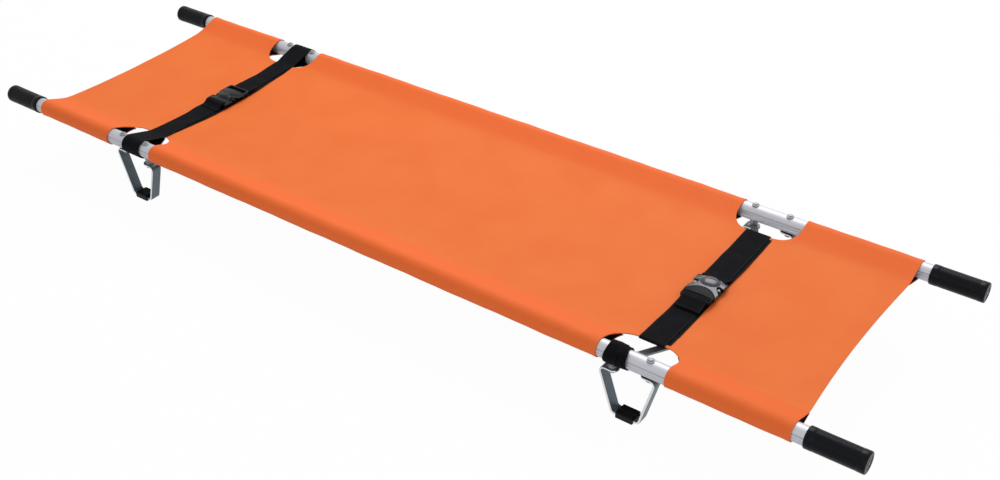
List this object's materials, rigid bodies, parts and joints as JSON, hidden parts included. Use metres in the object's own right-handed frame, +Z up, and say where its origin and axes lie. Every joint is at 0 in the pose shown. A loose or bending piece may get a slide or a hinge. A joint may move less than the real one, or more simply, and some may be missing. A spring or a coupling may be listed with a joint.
{
  "type": "rescue stretcher",
  "caption": "Folding two-pole rescue stretcher: sleeved fabric bed, V-folding spreaders, bent-strip feet, ribbed grips and buckled body straps.",
  "frame": {"origin": "floor level under the middle of the opened stretcher", "axes": "+X along the poles towards the right end, +Y across to the far pole, +Z up"},
  "size_m": [2.07, 0.553, 0.1476],
  "materials": {
    "pole_metal": "satin extruded aluminium with fine grooves",
    "zinc_steel": "bright blue-white zinc plate",
    "grip_rubber": "matte black ribbed rubber",
    "pad_rubber": "matte black rubber",
    "cover_fabric": "orange coated canvas, black on the back",
    "webbing": "black woven webbing",
    "grey_plastic": "glossy grey moulded plastic",
    "dark_plastic": "glossy dark grey moulded plastic",
    "black_plastic": "semi-gloss black moulded plastic"
  },
  "bodies": {
    "frame_near": {"pole_near": "pole_metal", "grip_near_left": "grip_rubber", "grip_near_right": "grip_rubber", "foot_near_left": "zinc_steel", "foot_near_right": "zinc_steel", "foot_pad_near_left": "pad_rubber", "foot_pad_near_right": "pad_rubber", "pivot_bolts_near": "zinc_steel", "tail_bolts_near": "zinc_steel", "bolt_nuts_near": "zinc_steel", "pivot_spacers_near": "zinc_steel", "retaining_band": "webbing"},
    "frame_far": {"pole_far": "pole_metal", "grip_far_left": "grip_rubber", "grip_far_right": "grip_rubber", "foot_far_left": "zinc_steel", "foot_far_right": "zinc_steel", "foot_pad_far_left": "pad_rubber", "foot_pad_far_right": "pad_rubber", "pivot_bolts_far": "zinc_steel", "tail_bolts_far": "zinc_steel", "bolt_nuts_far": "zinc_steel", "pivot_spacers_far": "zinc_steel"},
    "arm_near_left": {"arm_near_left": "zinc_steel", "knee_pin_left": "zinc_steel", "knee_washer_left": "zinc_steel"},
    "arm_near_right": {"arm_near_right": "zinc_steel", "knee_pin_right": "zinc_steel", "knee_washer_right": "zinc_steel"},
    "arm_far_left": {"arm_far_left": "zinc_steel"},
    "arm_far_right": {"arm_far_right": "zinc_steel"},
    "cover_near": {"cover_near": "cover_fabric", "strap_left_near": "webbing", "strap_right_near": "webbing"},
    "cover_centre": {"cover_centre": "cover_fabric", "strap_left_centre": "webbing", "strap_right_centre": "webbing", "buckle_housing_left": "dark_plastic", "buckle_housing_right": "grey_plastic"},
    "cover_far": {"cover_far": "cover_fabric", "strap_left_far": "webbing", "strap_right_far": "webbing"},
    "plug_left": {"buckle_plug_left": "black_plastic", "plug_tail_left": "webbing"},
    "prong_left_inboard": {"buckle_prong_left_inboard": "black_plastic"},
    "prong_left_outboard": {"buckle_prong_left_outboard": "black_plastic"},
    "plug_right": {"buckle_plug_right": "black_plastic", "plug_tail_right": "webbing"},
    "prong_right_inboard": {"buckle_prong_right_inboard": "black_plastic"},
    "prong_right_outboard": {"buckle_prong_right_outboard": "black_plastic"}
  },
  "joints": [
    {"name": "fold", "type": "hinge", "parent": "frame_near", "child": "arm_near_right", "pos_m": [0.5815, -0.2565, 0.1065], "axis": [0, 0, -1], "range_deg": [0, 44]},
    {"name": "knee_right", "type": "hinge", "parent": "arm_near_right", "child": "arm_far_right", "pos_m": [0.73684, 0, 0.1065], "axis": [0, 0, 1], "range_deg": [0, 88]},
    {"name": "pole_far_turn", "type": "hinge", "parent": "arm_far_right", "child": "frame_far", "pos_m": [0.5815, 0.2565, 0.1065], "axis": [0, 0, -1], "range_deg": [0, 44]},
    {"name": "spreader_left", "type": "hinge", "parent": "frame_near", "child": "arm_near_left", "pos_m": [-0.5815, -0.2565, 0.1065], "axis": [0, 0, 1], "range_deg": [0, 44]},
    {"name": "knee_left", "type": "hinge", "parent": "arm_near_left", "child": "arm_far_left", "pos_m": [-0.73684, 0, 0.1065], "axis": [0, 0, -1], "range_deg": [0, 88]},
    {"name": "cover_near_turn", "type": "hinge", "parent": "frame_near", "child": "cover_near", "pos_m": [0, -0.2565, 0.127], "axis": [1, 0, 0], "range_deg": [0, 86.54]},
    {"name": "cover_centre_turn", "type": "hinge", "parent": "cover_near", "child": "cover_centre", "pos_m": [0, -0.065, 0.12725], "axis": [-1, 0, 0], "range_deg": [0, 86.54]},
    {"name": "cover_far_turn", "type": "hinge", "parent": "frame_far", "child": "cover_far", "pos_m": [0, 0.2565, 0.127], "axis": [-1, 0, 0], "range_deg": [0, 86.54]},
    {"name": "plug_left_slide", "type": "slide", "parent": "cover_centre", "child": "plug_left", "axis": [0, 1, 0], "range_m": [0, 0.04]},
    {"name": "prong_left_inboard_squeeze", "type": "hinge", "parent": "plug_left", "child": "prong_left_inboard", "pos_m": [-0.593, 0.01, 0.1388], "axis": [0, 0, -1], "range_deg": [0, 5], "stiffness_Nm_per_rad": 0.4},
    {"name": "prong_left_outboard_squeeze", "type": "hinge", "parent": "plug_left", "child": "prong_left_outboard", "pos_m": [-0.641, 0.01, 0.1388], "axis": [0, 0, 1], "range_deg": [0, 5], "stiffness_Nm_per_rad": 0.4},
    {"name": "plug_right_slide", "type": "slide", "parent": "cover_centre", "child": "plug_right", "axis": [0, -1, 0], "range_m": [0, 0.04]},
    {"name": "prong_right_inboard_squeeze", "type": "hinge", "parent": "plug_right", "child": "prong_right_inboard", "pos_m": [0.598, -0.022, 0.1388], "axis": [0, 0, -1], "range_deg": [0, 5], "stiffness_Nm_per_rad": 0.4},
    {"name": "prong_right_outboard_squeeze", "type": "hinge", "parent": "plug_right", "child": "prong_right_outboard", "pos_m": [0.646, -0.022, 0.1388], "axis": [0, 0, 1], "range_deg": [0, 5], "stiffness_Nm_per_rad": 0.4}
  ],
  "couplings": [
    {"joint": "knee_right", "follows": "fold", "ratio": 2},
    {"joint": "pole_far_turn", "follows": "fold", "ratio": 1},
    {"joint": "spreader_left", "follows": "fold", "ratio": 1},
    {"joint": "knee_left", "follows": "fold", "ratio": 2},
    {"joint": "cover_near_turn", "follows": "fold", "ratio": 1.9665},
    {"joint": "cover_centre_turn", "follows": "fold", "ratio": 1.9665},
    {"joint": "cover_far_turn", "follows": "fold", "ratio": 1.9665},
    {"joint": "prong_left_outboard_squeeze", "follows": "prong_left_inboard_squeeze", "ratio": 1},
    {"joint": "prong_right_outboard_squeeze", "follows": "prong_right_inboard_squeeze", "ratio": 1}
  ]
}
